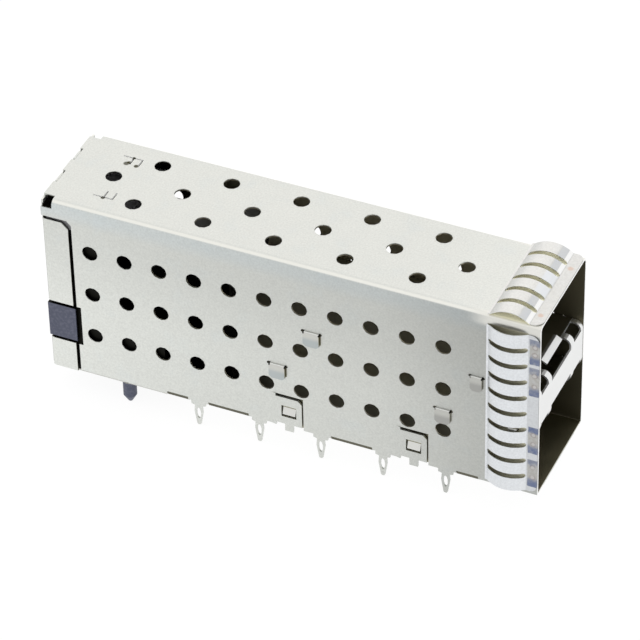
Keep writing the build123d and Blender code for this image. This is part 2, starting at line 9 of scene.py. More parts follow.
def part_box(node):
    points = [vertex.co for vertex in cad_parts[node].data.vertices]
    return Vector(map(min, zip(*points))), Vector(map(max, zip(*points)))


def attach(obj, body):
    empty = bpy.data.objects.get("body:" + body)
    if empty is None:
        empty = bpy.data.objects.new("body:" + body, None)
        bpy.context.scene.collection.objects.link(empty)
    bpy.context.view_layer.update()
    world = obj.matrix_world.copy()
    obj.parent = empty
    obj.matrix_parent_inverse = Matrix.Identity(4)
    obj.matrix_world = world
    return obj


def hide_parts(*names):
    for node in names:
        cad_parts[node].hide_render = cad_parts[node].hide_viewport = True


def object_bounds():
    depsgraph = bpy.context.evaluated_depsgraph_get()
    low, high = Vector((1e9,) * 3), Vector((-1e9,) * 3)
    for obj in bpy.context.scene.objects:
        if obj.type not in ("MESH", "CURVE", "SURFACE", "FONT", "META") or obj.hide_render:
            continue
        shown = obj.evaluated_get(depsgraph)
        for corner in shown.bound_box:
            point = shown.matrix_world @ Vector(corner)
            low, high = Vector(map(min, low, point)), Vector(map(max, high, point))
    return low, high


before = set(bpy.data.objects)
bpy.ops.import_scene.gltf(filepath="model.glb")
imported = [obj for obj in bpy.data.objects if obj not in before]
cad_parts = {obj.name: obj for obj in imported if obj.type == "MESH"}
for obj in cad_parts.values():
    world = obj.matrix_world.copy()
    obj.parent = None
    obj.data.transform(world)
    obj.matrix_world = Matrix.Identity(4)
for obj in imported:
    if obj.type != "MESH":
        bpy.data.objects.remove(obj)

bl_info = {
    "name": "Stacked transceiver cage",
    "version": (1, 0, 0),
    "blender": (4, 5, 0),
    "location": "3D View > Sidebar > Cage",
    "description": "Finishes, vent rims, spring strips and studio for a two-high transceiver cage",
    "category": "Object",
}

MM = 0.001
BODY = "root"
WHITE = (1.0, 1.0, 1.0, 1.0)
SENSOR_WIDTH = 36.0    # millimetres
INSIDE_ROUGH = 0.15    # added to the roughness of the sheets' inner faces

CAD_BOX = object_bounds()
SHELL_LOW, SHELL_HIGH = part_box("cage_shell")
COVER_LOW, COVER_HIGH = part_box("rear_cover")
FLOOR_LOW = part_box("bottom_plate")[0]
FRONT = SHELL_LOW.y
REAR = SHELL_HIGH.y
TOP = SHELL_HIGH.z
HALF_WIDTH = COVER_HIGH.x
WALL_FOOT = FLOOR_LOW.z

SPRING_NODES = {
    "spring_strip_top": "emi_spring_top",
    "spring_strip_left": "emi_spring_left",
    "spring_strip_right": "emi_spring_right",
    "spring_strip_bottom": "emi_spring_bottom",
}
CONTACT_NODES = tuple(sorted(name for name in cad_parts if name.startswith("contact_")))

# Steepest edge that is still shaded smooth, in degrees
RIM_SMOOTH = 50.0
HEM_SMOOTH = 40.0
STRIP_SMOOTH = 6.0

# Places for the finishes, in millimetres: "behind" is from the front edge, heights are from the board
TOP_MM = TOP / MM
REAR_MM = REAR / MM
HALF_WIDTH_MM = HALF_WIDTH / MM
WALL_FOOT_MM = WALL_FOOT / MM
FLANGE = (COVER_LOW.y - FRONT) / MM    # front ends of the cover's flanges, behind
MOUTH_END = (6.5, 10.5)                # behind: from the dark mouth of a port to its inside
NOTCHES = ((7.49, 10.29), (21.07, 26.45), (37.23, 42.61), (45.31, 48.11))    # walls' notches, behind
LEAF_TOPS = (16.3, 10.03)              # heights of the folds of the separator's wall tabs
# Side welds, over the walls' foot: lower end, upper end, depth of the blue at the upper end
WELDS = ((19.7, 23.4, 0.75), (15.0, 19.2, 0.7), (6.3, 10.3, 1.0), (1.2, 5.3, 0.7))
TOP_SPOTS = ((4.2, 0.8), (-5.1, 0.85))    # weld spots of the top collar: across, behind
# Wall tabs past the spring strips: middle behind, half width, height of the slot, depth of shade
TABS = (
    (7.78, 0.75, 16.175, 0.45),
    (11.97, 0.975, 9.905, 0.45),
    (28.65, 1.05, 16.175, 1.0),
    (33.2, 1.05, 9.905, 1.0),
)
# Painted shade for the opening at each end of the cut lines round the top's retention tabs:
# across, behind, radius, depth of shade
HOLDS = (
    (4.15, 56.8, 0.27, 1.0),
    (3.2, 57.0, 0.27, 0.8),
    (2.88, 57.2, 0.46, 0.84),
    (2.8, 55.87, 0.37, 0.92),
    (-4.25, 56.82, 0.34, 1.0),
)


def length(name, default, description):
    """A size in metres, given here in millimetres."""
    return FloatProperty(name=name, description=description, default=default * MM, unit="LENGTH", precision=5)


def colour(name, default, description):
    """A linear colour."""
    return FloatVectorProperty(
        name=name, description=description, default=default, size=3, subtype="COLOR", min=0, max=1
    )


def share(name, default, description):
    """A number from 0 to 1."""
    return FloatProperty(name=name, description=description, default=default, min=0, max=1, subtype="FACTOR")


class VentSizes(bpy.types.PropertyGroup):
    """Places and sizes of the round vents in the walls and the top."""

    radius: length("Radius", 1.0, "Inner radius of a vent")
    rim: length("Rim width", 0.17, "Radial width of the rim that rounds the vent")
    edge: length("Edge radius", 0.045, "Rounding of the rim's inner edges")
    sheet: length("Sheet", 0.25, "Thickness of the folded sheet")
    proud: length("Proud", 0.004, "Height of the rim over the sheet's faces")
    first: length("First column", 11.97, "Front edge to the first column of vents")
    pitch: length("Pitch", 4.55, "Distance between columns")
    columns: IntProperty(name="Columns", description="Columns of vents along the cage", default=11, min=1)
    row_pitch: length("Row pitch", 6.3, "Distance between the three rows of a wall")
    middle: length("Middle row", 13.0, "Height of a wall's middle row over the board")
    top_offset: length("Top rows", 4.05, "Outer rows of the top to its middle")
    segments: IntProperty(name="Segments", description="Steps round a vent", default=48, min=12)


class SpringSizes(bpy.types.PropertyGroup):
    """Form of the spring strips round the front."""

    sheet: length("Sheet", 0.1, "Thickness of the strip")
    pitch: length("Finger pitch", 2.375, "Distance between fingers")
    slot: length("Slot width", 0.68, "Width of the slot between two fingers")
    slot_start: length("Slot start", 1.5, "Front edge to the slot's front end")
    slot_end: length("Slot end", 6.3, "Front edge to the slot's rear end")
    collar: length("Collar", 1.45, "Length of the flat collar")
    first_fold: length("First fold", 2.15, "Front edge to the end of the first flat of the rise")
    first_rise: length("First rise", 0.45, "Height at the first fold")
    second_fold: length("Second fold", 2.9, "Front edge to the end of the second flat of the rise")
    second_rise: length("Second rise", 0.76, "Height at the second fold")
    crest: length("Crest", 3.95, "Front edge to the highest place of the bow")
    bow: length("Bow", 0.9, "Height of the bow")
    foot: length("Foot", 6.35, "Front edge to where the bow meets the sheet again")
    corner: length("Corner radius", 1.0, "Radius of the collar's two corners")
    corner_lift: length("Corner lift", 0.12, "Height of the collar's corners over the sheet")


class HemSizes(bpy.types.PropertyGroup):
    """Form of the hems of the floor plate, which show in the walls' notches."""

    width: length("Width", 0.25, "Across the cage")
    height: length("Height", 0.43, "Upright")
    rise: length("Rise", 0.12, "Floor plate's lower face to the hem's upper edge")
    gap: length("Gap", 0.28, "Outer face of the wall to the hem")
    margin: length("Margin", 0.05, "Hem beyond each end of its notch")
    edge: length("Edge radius", 0.03, "Rounding of the hem's lower edges")


class FinishColours(bpy.types.PropertyGroup):
    """Colours of the finishes."""

    steel: colour("Steel", (0.625, 0.637, 0.605), "Satin plated steel of the folded sheets")
    # Painted cool reflection near the long bends, also the plating's random cool clouds
    steel_cool: colour("Cool steel", (0.585, 0.625, 0.625), "Faint blue cast near the long bends")
    inside: colour("Inside", (0.64, 0.60, 0.46), "Inner faces of the sheets deep in the ports")
    # Painted shade inside the ports near the front edge
    mouth: colour("Mouth", (0.125, 0.114, 0.074), "Inner faces of the sheets near the front edge")
    gap: colour("Gap", (0.99, 0.97, 0.80), "Sheet in the shade of the spring strips")
    # Painted shade: deep shade under the strips, behind the walls and on the hems
    deep_shade: colour("Deep gap", (0.28, 0.262, 0.18), "Sheet at the strips' closed ends and behind slots")
    # Painted highlight: front cut edge and tab crest; also painted light on the spring's first flats and the
    # cut faces at the retention tabs
    edge: colour("Cut edge", (0.93, 0.93, 0.92), "Bright cut edges")
    # Painted highlight on the separator's front face, bends and lips
    face: colour("Face", (0.81, 0.815, 0.81), "Separator's front face and lips")
    # Painted highlight along the long top bends
    bend: colour("Bend", (0.90, 0.89, 0.83), "Polished line along the long top bends")
    # Warm painted light on the bend between the spring strips
    corner: colour("Corner", (0.80, 0.787, 0.73), "Warm bend between the spring strips")
    # Painted shade standing for the relief holes
    relief: colour("Relief", (0.008, 0.008, 0.007), "Relief holes at the ends of the wall tabs' slots")
    # Painted shade standing for the opening at each end of the cut lines
    hold: colour("Hold", (0.040, 0.037, 0.014), "Openings at the retention tabs")
    tab_side: colour("Tab side", (0.235, 0.22, 0.15), "Shaded front sides of the wall tabs")
    deck: colour("Deck", (0.25, 0.24, 0.19), "Decks and floor deep in the ports")
    lance: colour("Lance", (0.68, 0.68, 0.65), "Lances in the ears' windows")
    # Painted light on the wall tabs: warm highlight near the folds, cool reflection and shade lower down
    leaf_warm_highlight: colour("Warm leaf", (0.665, 0.665, 0.625), "Upper part of the wall tabs")
    leaf_cool_reflection: colour("Cool leaf", (0.51, 0.55, 0.55), "Lower part of the rear wall tabs")
    leaf_lower_shade: colour("Plain leaf", (0.488, 0.487, 0.465), "Lower part of the front wall tabs")
    spring: colour("Spring", (0.715, 0.735, 0.755), "Bright spring strips")
    # Painted shade: a darker copy of the spring colour for the top strip
    spring_top_shade: colour("Top spring", (0.645, 0.645, 0.62), "Strip on the top")
    weld_blue: colour("Weld blue", (0.14, 0.175, 0.285), "Heat tint at the ends of the side welds")
    weld_pale: colour("Weld pale", (0.405, 0.395, 0.37), "Grey tint in the middle of the side welds")
    weld_brown: colour("Weld brown", (0.30, 0.26, 0.25), "Heat tint round the weld spots")
    plastic: colour("Plastic", (0.055, 0.062, 0.100), "Connector housing")
    plastic_pale: colour("Pale plastic", (0.095, 0.101, 0.145), "Lighter flecks of the housing")
    # Painted shade: the housing inside the cage
    plastic_shade: colour("Deep plastic", (0.012, 0.012, 0.010), "Housing inside the cage")
    # Painted light: the housing's top, lit through the vents
    plastic_top_light: colour("Plastic top", (0.30, 0.30, 0.31), "Housing's top below the vents")
    weld_spot: colour("Weld spot", (0.58, 0.38, 0.28), "Weld spots on the top collar")
    weld_core: colour("Weld core", (0.54, 0.53, 0.52), "Middle of the weld spots")
    # Painted highlight on the top strip's front flats
    finger: colour("Finger", (0.79, 0.81, 0.83), "Front flats of the top strip's middle fingers")
    # Painted light: a pale band at the lower side edges of the housing
    plastic_foot_light: colour("Plastic foot", (0.60, 0.60, 0.57), "Worn lower edges of the housing's sides")
    gold: colour("Gold", (0.83, 0.58, 0.24), "Plated contact beams")
    tin: colour("Tin", (0.62, 0.62, 0.60), "Plated contact tails")


class StageValues(bpy.types.PropertyGroup):
    """Studio: floor, light and camera."""

    azimuth: FloatProperty(
        name="Azimuth", description="Camera's turn about the upright", default=math.radians(-65.286),
        subtype="ANGLE",
    )
    elevation: FloatProperty(
        name="Elevation", description="Camera's height as an angle", default=math.radians(39.152),
        subtype="ANGLE",
    )
    roll: FloatProperty(
        name="Roll", description="Camera's turn about its own axis", default=math.radians(-1.348),
        subtype="ANGLE",
    )
    lens: FloatProperty(name="Lens", description="Focal length in millimetres", default=221.46, min=1)
    eye: FloatVectorProperty(
        name="Eye", description="Camera's place", default=(-0.330831, -0.175269, 0.308529), size=3,
        subtype="XYZ", unit="LENGTH", precision=5,
    )
    floor_size: FloatProperty(name="Floor", description="Side of the floor", default=6.0, unit="LENGTH")
    floor_glow: FloatProperty(name="Floor glow", description="Light given off by the floor", default=0.93)
    floor_grey: share("Floor grey", 0.10, "Share of light that the floor sends back")
    sky: FloatProperty(name="Sky", description="Brightness of the surroundings", default=1.0)
    key_watts: FloatProperty(
        name="Key", description="Power of the large soft light", default=1.25, unit="POWER"
    )
    key_colour: colour("Key colour", (1.0, 0.93, 0.90), "Colour of the large soft light")
    key_size: FloatProperty(name="Key size", description="Side of the soft light", default=1.1, unit="LENGTH")
    key_distance: FloatProperty(
        name="Key distance", description="Soft light to the cage", default=1.2, unit="LENGTH"
    )


class CageSettings(bpy.types.PropertyGroup):
    """All settings of the cage."""

    vents: PointerProperty(type=VentSizes, name="Vents", description="Vent rims")
    springs: PointerProperty(type=SpringSizes, name="Springs", description="Spring strips")
    hems: PointerProperty(type=HemSizes, name="Hems", description="Floor hems")
    colours: PointerProperty(type=FinishColours, name="Colours", description="Finishes")
    stage: PointerProperty(type=StageValues, name="Stage", description="Studio")


class Field:
    """A node socket that takes part in Python arithmetic: each operator adds one Math node."""

    def __init__(self, tree, socket):
        self.tree = tree
        self.socket = socket

    def make(self, kind, settings=None, inputs=None, output=0):
        """Adds a node, sets its settings first, then its sockets, and returns one of its outputs."""
        node = self.tree.nodes.new(kind)
        for name, value in (settings or {}).items():
            setattr(node, name, value)
        for key, value in (inputs or {}).items():
            if isinstance(value, Field):
                self.tree.links.new(value.socket, node.inputs[key])
            else:
                node.inputs[key].default_value = value
        return Field(self.tree, node.outputs[output])

    def math(self, operation, *values):
        """Adds a Math node."""
        return self.make("ShaderNodeMath", {"operation": operation}, dict(enumerate(values)))

    def __add__(self, other):
        return self.math("ADD", self, other)

    __radd__ = __add__

    def __sub__(self, other):
        return self.math("SUBTRACT", self, other)

    def __rsub__(self, other):
        return self.math("SUBTRACT", other, self)

    def __mul__(self, other):
        return self.math("MULTIPLY", self, other)

    __rmul__ = __mul__

    def __abs__(self):
        return self.math("ABSOLUTE", self)

    def largest(self, other):
        return self.math("MAXIMUM", self, other)

    def hypot(self, other):
        """Length of the vector whose two parts are this field and another."""
        return self.math("SQRT", self * self + other * other)

    def step(self, low, high):
        """Rises smoothly from 0 at low to 1 at high, and falls where high is below low."""
        inputs = {"Value": self, "From Min": low, "From Max": high}
        return self.make("ShaderNodeMapRange", {"interpolation_type": "SMOOTHSTEP"}, inputs)

    def band(self, low, high, soft):
        """1 between low and high and 0 beyond, with borders twice as wide as soft."""
        return self.step(low - soft, low + soft) * self.step(high + soft, high - soft)

    def swing(self, depth):
        """How far this noise is from its mean of one half, times depth."""
        return (self - 0.5) * depth

    def scaled(self, factor):
        """This colour times a number."""
        return self.make("ShaderNodeVectorMath", {"operation": "SCALE"}, {0: self, 3: factor})

    def tint(self, first, second):
        """Mixes two colours by this field."""
        inputs = {0: self, 6: as_rgba(first), 7: as_rgba(second)}
        return self.make("ShaderNodeMix", {"data_type": "RGBA"}, inputs, 2)


def times(value, factor):
    """A plain colour times a number, up to white."""
    return tuple(min(1.0, part * factor) for part in value)


def as_rgba(value):
    """A field as it is, or a colour with an alpha of 1."""
    return value if isinstance(value, Field) else (*value, 1.0)


class Finish:
    """A new material with its shader, its object coordinates in millimetres, and patterns on them."""

    def __init__(self, name):
        self.material = bpy.data.materials.new(name)
        self.material.use_nodes = True
        self.tree = self.material.node_tree
        self.shader = self.tree.nodes["Principled BSDF"]
        coordinates = self.tree.nodes.new("ShaderNodeTexCoord")
        self.place = Field(self.tree, coordinates.outputs["Object"])
        self.x = self.axis("X")
        self.y = self.axis("Y")
        self.z = self.axis("Z")
        self.side = abs(self.x)
        self.behind = self.y - FRONT / MM

    def axis(self, name):
        """One object coordinate in millimetres."""
        inputs = {0: self.place}
        index = "XYZ".index(name)
        return self.place.make("ShaderNodeSeparateXYZ", None, inputs, index) * (1 / MM)

    def noise(self, scale, detail=2.0, stretch=(1, 1, 1)):
        """Noise whose grain is about 1 / scale millimetres, drawn out along an axis by a small stretch."""
        inputs = {"Vector": self.place, "Scale": tuple(v / MM for v in stretch)}
        turned = self.place.make("ShaderNodeMapping", {"vector_type": "POINT"}, inputs)
        return self.place.make(
            "ShaderNodeTexNoise", None, {"Vector": turned, "Scale": scale, "Detail": detail}
        )

    def set(self, **values):
        """Constants go on the shader's own sockets, and fields are linked to them."""
        for key, value in values.items():
            socket = self.shader.inputs[key.replace("_", " ").title().replace("Ior", "IOR")]
            if isinstance(value, Field):
                self.tree.links.new(value.socket, socket)
            else:
                socket.default_value = value

    def bump(self, height, strength, distance):
        """Height in millimetres, given to the shader's normal."""
        inputs = {"Height": height, "Strength": strength, "Distance": distance * MM}
        self.set(normal=self.place.make("ShaderNodeBump", None, inputs))


def settings():
    """The scene's settings of the cage."""
    return bpy.context.scene.cage_settings


def inside_of_cage(finish):
    """1 on faces that look into the ports and 0 on outer faces. The border runs along the middle of the
    sheet, round the long top bends as well."""
    half_sheet = 0.125
    bend = 0.8
    soft = 0.02
    over_x = (finish.side - (HALF_WIDTH_MM - bend)).largest(0.0)
    over_z = (finish.z - (TOP_MM - bend)).largest(0.0)
    within = over_x.hypot(over_z).step(bend - half_sheet + soft, bend - half_sheet - soft)
    over_floor = finish.z.step(WALL_FOOT_MM + half_sheet - soft, WALL_FOOT_MM + half_sheet + soft)
    before_rear = finish.y.step(REAR_MM - half_sheet + soft, REAR_MM - half_sheet - soft)
    return within * over_floor * before_rear


def plated(name):
    """Satin plated steel as a finish, its base colour and its roughness: cloudy plating, faint rolling
    streaks along the cage, a painted cool reflection near the long bends, painted shade that makes the walls
    darker to the front and to the top, painted light on the top towards the front, a painted highlight along
    the top bends, and warm painted light on the bend between the spring strips."""
    cool_bend_reflection, cool_clouds = 0.75, 0.25
    front_shade_tone, shade_per_mm, rear_gain = 0.67, 0.0048, 0.15
    top_shade_tone, low_gain = 0.91, 0.14
    top_front_light_gain = 0.035
    crown_highlight_depth, corner_light_depth = 0.85, 0.75
    plain_rough = 0.40
    colours = settings().colours
    finish = Finish(name)
    clouds = finish.noise(0.35, detail=3.0)
    streaks = finish.noise(6.0, stretch=(1, 0.03, 1))
    grain = finish.noise(4.5, detail=3.0)
    on_wall = finish.side.step(6.9, 7.2)
    # Painted cool reflection near the long bends; the cool clouds are the plating's random tone
    bend = finish.z.step(TOP_MM - 3.2, TOP_MM - 1.2) * on_wall
    cool = bend * cool_bend_reflection + clouds.step(0.52, 0.75) * cool_clouds
    base = cool.tint(colours.steel, colours.steel_cool)
    # Painted shade: the walls get darker to the front and to the top
    along = finish.behind * shade_per_mm + finish.behind.step(5.0, 22.0) * rear_gain + front_shade_tone
    downward = finish.z.step(24.0, 8.0) * low_gain + top_shade_tone
    wall_shade = on_wall * (along * downward - 1) + 1
    mottle = clouds.swing(0.05) + streaks.swing(0.04) + grain.swing(0.36) + 1
    # Painted light: the top gets lighter towards the front
    top_front_light = finish.behind.step(18.0, 7.0) * (1 - on_wall) * top_front_light_gain + 1
    # Painted highlight along the long top bends
    crown_highlight = finish.z.band(TOP_MM - 0.30, TOP_MM - 0.06, soft=0.07) * finish.side.step(6.5, 6.72)
    base = (crown_highlight * crown_highlight_depth).tint(base.scaled(wall_shade * mottle * top_front_light), colours.bend)
    # Warm painted light on the bend between the spring strips, near the front
    corner = finish.behind.step(9.5, 6.0) * finish.z.step(TOP_MM - 1.9, TOP_MM - 1.1)
    corner = corner * finish.side.step(6.4, 6.6)
    base = (corner * corner_light_depth).tint(base, colours.corner)
    rough = clouds.swing(0.18) + grain.swing(0.10) + plain_rough
    finish.bump(grain * 0.6 + streaks * 0.4, strength=0.10, distance=0.02)
    return finish, base, rough


def strip_fade(finish):
    """How pale a sheet is in the shade of the side strips: paler to the front."""
    palest = 0.55
    return finish.behind.step(6.6, 1.4) * palest


def with_tab_marks(finish, base):
    """The base colour with painted shade for the relief holes at both ends of each wall tab's slot, and with
    painted shade at the tab's front side. The rear holes are a little larger."""
    clearance = 0.07    # tab's end to the middle of the relief hole
    rear_growth = 0.05
    colours = settings().colours
    on_wall = finish.side.step(6.98, 7.0)
    holes = 0.0
    sides = 0.0
    for middle, half, height, shade in TABS:
        along = finish.behind - middle
        over = finish.z - height
        front_end = along.step(0.1, -0.1)
        rear_end = along.step(-0.1, 0.1)
        depth = front_end * (1 - shade) + shade
        reach = (abs(along) - half - clearance).hypot(over) - rear_end * rear_growth
        holes = reach.step(0.23, 0.17) * over.step(-0.16, -0.1) * depth + holes
        front_side = along.band(-half - 0.13, 0.05 - half, soft=0.03)
        sides = front_side * over.band(-1.55, -0.1, soft=0.05) * shade + sides
    # Painted shade at the tabs' front sides and in the relief holes
    base = (sides * on_wall).tint(base, colours.tab_side)
    return (holes * on_wall).tint(base, colours.relief)


def hold_marks(finish):
    """Masks of the cut faces round the top's two retention tabs, which get painted light, and of the painted
    shade in the opening at each end of the cut lines.
    """
    darkest = 0.55    # share of an opening's radius
    near = finish.side.band(2.75, 4.4, soft=0.02) * finish.behind.band(55.4, 58.4, soft=0.02)
    lightened_cuts = near * finish.z.band(25.56, 25.785, soft=0.005)
    opening_shade = 0.0
    for place, away, radius, shade in HOLDS:
        reach = (finish.x - place).hypot(finish.behind - away)
        opening_shade = reach.step(radius, radius * darkest) * shade + opening_shade
    return lightened_cuts, opening_shade * finish.z.step(25.5, 25.6)


def port_colour(finish, inner):
    """Colour of the sheets inside the ports, with painted shade: inner deep in them, darker near the mouth
    and near the rear.
    """
    rear_shade_tone = 0.25
    mouth = settings().colours.mouth
    deep = finish.behind.step(*MOUTH_END).tint(mouth, inner)
    return finish.behind.step(48.0, 54.0).tint(deep, times(mouth, rear_shade_tone))


def near_mouth(finish):
    """1 at the ports' mouths and 0 deep in them."""
    return finish.behind.step(*reversed(MOUTH_END))


def shell_steel():
    """Plated steel of the shell and the rear cover: painted shade under the spring strips, a painted
    highlight at the front cut, painted shade beside the cover's flanges and inside, though the right rear
    corner and the comb at the rear are left pale."""
    shade_rough = 0.4
    flange_shade_tone = 0.6
    lower_shade_depth = 0.3
    colours = settings().colours
    finish, base, rough = plated("plated_steel")
    on_top = finish.z.step(TOP_MM - 0.4, TOP_MM - 0.2) * finish.side.step(7.1, 6.8)
    on_side = finish.side.step(7.08, 7.16) * finish.z.band(1.1, 24.65, soft=0.12)
    shaded = finish.behind.band(1.4, 6.45, soft=0.06) * on_top.largest(on_side)
    pale = strip_fade(finish).largest(on_top)
    base = shaded.tint(base, pale.tint(colours.deep_shade, colours.gap))
    # Painted highlight: a bright line on the front cut edge
    front_cut_highlight = finish.behind.step(0.03, 0.015)
    base = with_tab_marks(finish, front_cut_highlight.tint(base, colours.edge))
    # Painted light on the cut faces round the retention tabs, pale and not metallic, and painted shade in the
    # opening at each end of the cut lines
    lightened_cuts, opening_shade = hold_marks(finish)
    base = opening_shade.tint(lightened_cuts.tint(base, colours.edge), colours.hold)
    # Painted shade in the slot beside the front end of each cover flange
    flange_slot_shade = finish.behind.band(FLANGE - 0.02, FLANGE + 0.02, soft=0.01)
    flange_slot_shade = flange_slot_shade * finish.side.step(6.9, 7.0) * finish.z.step(21.8, 21.5)
    base = flange_slot_shade.tint(base, times(colours.tab_side, flange_shade_tone))
    # The right rear corner and the comb at the rear are left out of the painted shade inside
    open_corner = finish.x.step(6.0, 6.2) * finish.behind.step(61.6, 61.9) * finish.z.step(24.0, 24.3)
    comb = finish.behind.step(63.2, 63.3) * finish.z.step(24.9, 25.1)
    comb_slots = finish.x.band(3.2, 3.6, soft=0.05) + finish.x.band(-1.5, -1.1, soft=0.05)
    comb = comb * (1 - comb_slots)
    # Painted shade inside the ports
    inside = inside_of_cage(finish) * finish.behind.step(0.01, 0.06)
    inside = inside * (1 - open_corner) * (1 - comb) * (1 - lightened_cuts)
    # More painted shade in the lower port near its mouth
    lower_mouth_shade = finish.z.step(10.3, 9.7) * near_mouth(finish)
    inner = port_colour(finish, colours.inside).scaled(1 - lower_mouth_shade * lower_shade_depth)
    rough = rough + shaded * shade_rough + inside * INSIDE_ROUGH
    finish.set(base_color=inside.tint(base, inner), metallic=1 - lightened_cuts, roughness=rough)
    return finish.material


def floor_steel():
    """Plated steel of the floor plate: painted shade on the sides behind the walls, painted shade inside the
    ports with painted light near their mouths, and lances in the ears' windows.
    """
    flange_shade_tone = 0.9
    mouth_light_gain = 1.3
    colours = settings().colours
    finish, base, rough = plated("floor_steel")
    # Painted shade on the floor plate's sides behind the walls and on its flanges
    near_wall_shade = finish.side.band(6.55, 6.975, soft=0.01)
    flanges = finish.side.step(6.97, 6.98)
    lances = finish.side.step(7.04, 7.06)
    base = near_wall_shade.tint(base, colours.deep_shade)
    base = flanges.tint(base, times(colours.deep_shade, flange_shade_tone))
    base = lances.tint(base, colours.lance)
    # Painted shade inside the ports, with painted light near their mouths
    inside = inside_of_cage(finish) * finish.side.step(6.93, 6.90)
    inner = port_colour(finish, colours.deck).scaled(near_mouth(finish) * mouth_light_gain + 1)
    finish.set(base_color=inside.tint(base, inner), metallic=1.0, roughness=rough)
    return finish.material


def hem_steel():
    """Steel of the hems in the shade of the walls."""
    tone = 0.3
    colours = settings().colours
    finish = Finish("hem_steel")
    grain = finish.noise(9.0)
    base = (grain * 0.4 + 0.1).tint(colours.deep_shade, colours.gap)
    finish.set(base_color=base.scaled(tone), metallic=1.0, roughness=0.55)
    return finish.material


def separator_steel():
    """Plated steel of the separator: a painted highlight on the front face, bends and tongue lips, painted
    shade on the decks with painted light between them, and wall tabs with a warm painted highlight near their
    folds, a cool painted reflection below, painted shade to the front and painted shade under the spring
    strips."""
    front_shade_tone, shade_per_mm = 0.69, 0.006
    crest_highlight_depth = 0.6
    between_light_gain = 1.1
    colours = settings().colours
    finish, base, rough = plated("separator_steel")
    folds = 0.0
    crest_highlights = 0.0
    # Painted light on the wall tabs: warm highlight near each fold and a bright crest on it
    for top in LEAF_TOPS:
        folds = finish.z.step(top - 1.25, top - 0.55) * finish.z.step(top + 0.3, top + 0.1) + folds
        crest_highlights = finish.z.band(top - 0.05, top + 0.1, soft=0.02) + crest_highlights
    outside = finish.side.step(7.24, 7.28)
    # Cool painted reflection on the rear tabs' lower part, painted shade on the front tabs' lower part and to
    # the front
    leaf = finish.behind.step(14.0, 20.0).tint(colours.leaf_lower_shade, colours.leaf_cool_reflection)
    leaf = folds.tint(leaf, colours.leaf_warm_highlight).scaled(finish.behind * shade_per_mm + front_shade_tone)
    leaf = (crest_highlights * crest_highlight_depth).tint(leaf, colours.edge)
    # Painted shade on the tabs under the spring strips
    hidden_shade = finish.behind.step(5.2, 5.0) * finish.z.step(12.0, 13.0)
    leaf = hidden_shade.tint(leaf, strip_fade(finish).tint(colours.deep_shade, colours.gap))
    base = with_tab_marks(finish, outside.tint(base, leaf))
    # Painted highlight on the front face, bends and lips
    face = (1 - outside) * finish.behind.step(3.0, 2.5)
    base = face.tint(base, colours.face)
    # Where the painted shade inside the ports begins
    on_tongue = finish.side.step(2.7, 2.5)
    dark = on_tongue * finish.behind.step(1.6, 2.2) + (1 - on_tongue) * finish.behind.step(1.42, 1.52)
    inside = inside_of_cage(finish) * dark
    # Painted light between the decks, deep in the ports
    between = finish.z.band(9.95, 16.12, soft=0.03) * finish.behind.step(7.0, 11.0)
    inner = port_colour(finish, colours.deck).scaled(between * between_light_gain + 1)
    rough = rough + inside * INSIDE_ROUGH
    finish.set(base_color=inside.tint(base, inner), metallic=1.0, roughness=rough)
    return finish.material


def with_side_welds(finish, base, ragged):
    """The base colour with the heat tints of the side collars: each of four welds is grey with two ringed
    spots, and blue at its ends. All borders are ragged."""
    spot_middle = 0.62    # behind
    colours = settings().colours
    height = finish.z - WALL_FOOT_MM
    along = height + ragged * 1.2
    across = finish.behind - spot_middle + ragged * 0.25
    on_collar = (finish.behind + ragged * 0.2).step(1.34, 1.22)
    on_side = finish.side.step(HALF_WIDTH_MM - 0.1, HALF_WIDTH_MM) * on_collar
    welds = 0.0
    blue = 0.0
    rings = 0.0
    cores = 0.0
    for low, high, top_blue in WELDS:
        weld = (height + ragged * 0.12).band(low, high, soft=0.06)
        low_end = along.step(low + 1.5, low + 0.7)
        high_end = along.step(high - 1.3, high - 0.5)
        welds = weld + welds
        blue = weld * low_end.largest(high_end * top_blue) + blue
        for place in (low + 1.45, high - 1.15):
            reach = (height - place).hypot(across) + ragged * 0.15
            rings = reach.step(0.42, 0.32) + rings
            cores = reach.step(0.3, 0.18) + cores
    # Mask, depth of its tint, how uneven that depth is, tint
    tints = (
        (welds, 0.85, 1.0, colours.weld_pale),
        (blue, 0.85, 0.9, colours.weld_blue),
        (rings, 0.55, 1.0, colours.weld_brown),
        (cores, 0.75, 0.8, colours.weld_core),
    )
    for mask, depth, uneven, tint in tints:
        base = (on_side * mask * (ragged * uneven + depth)).tint(base, tint)
    return base


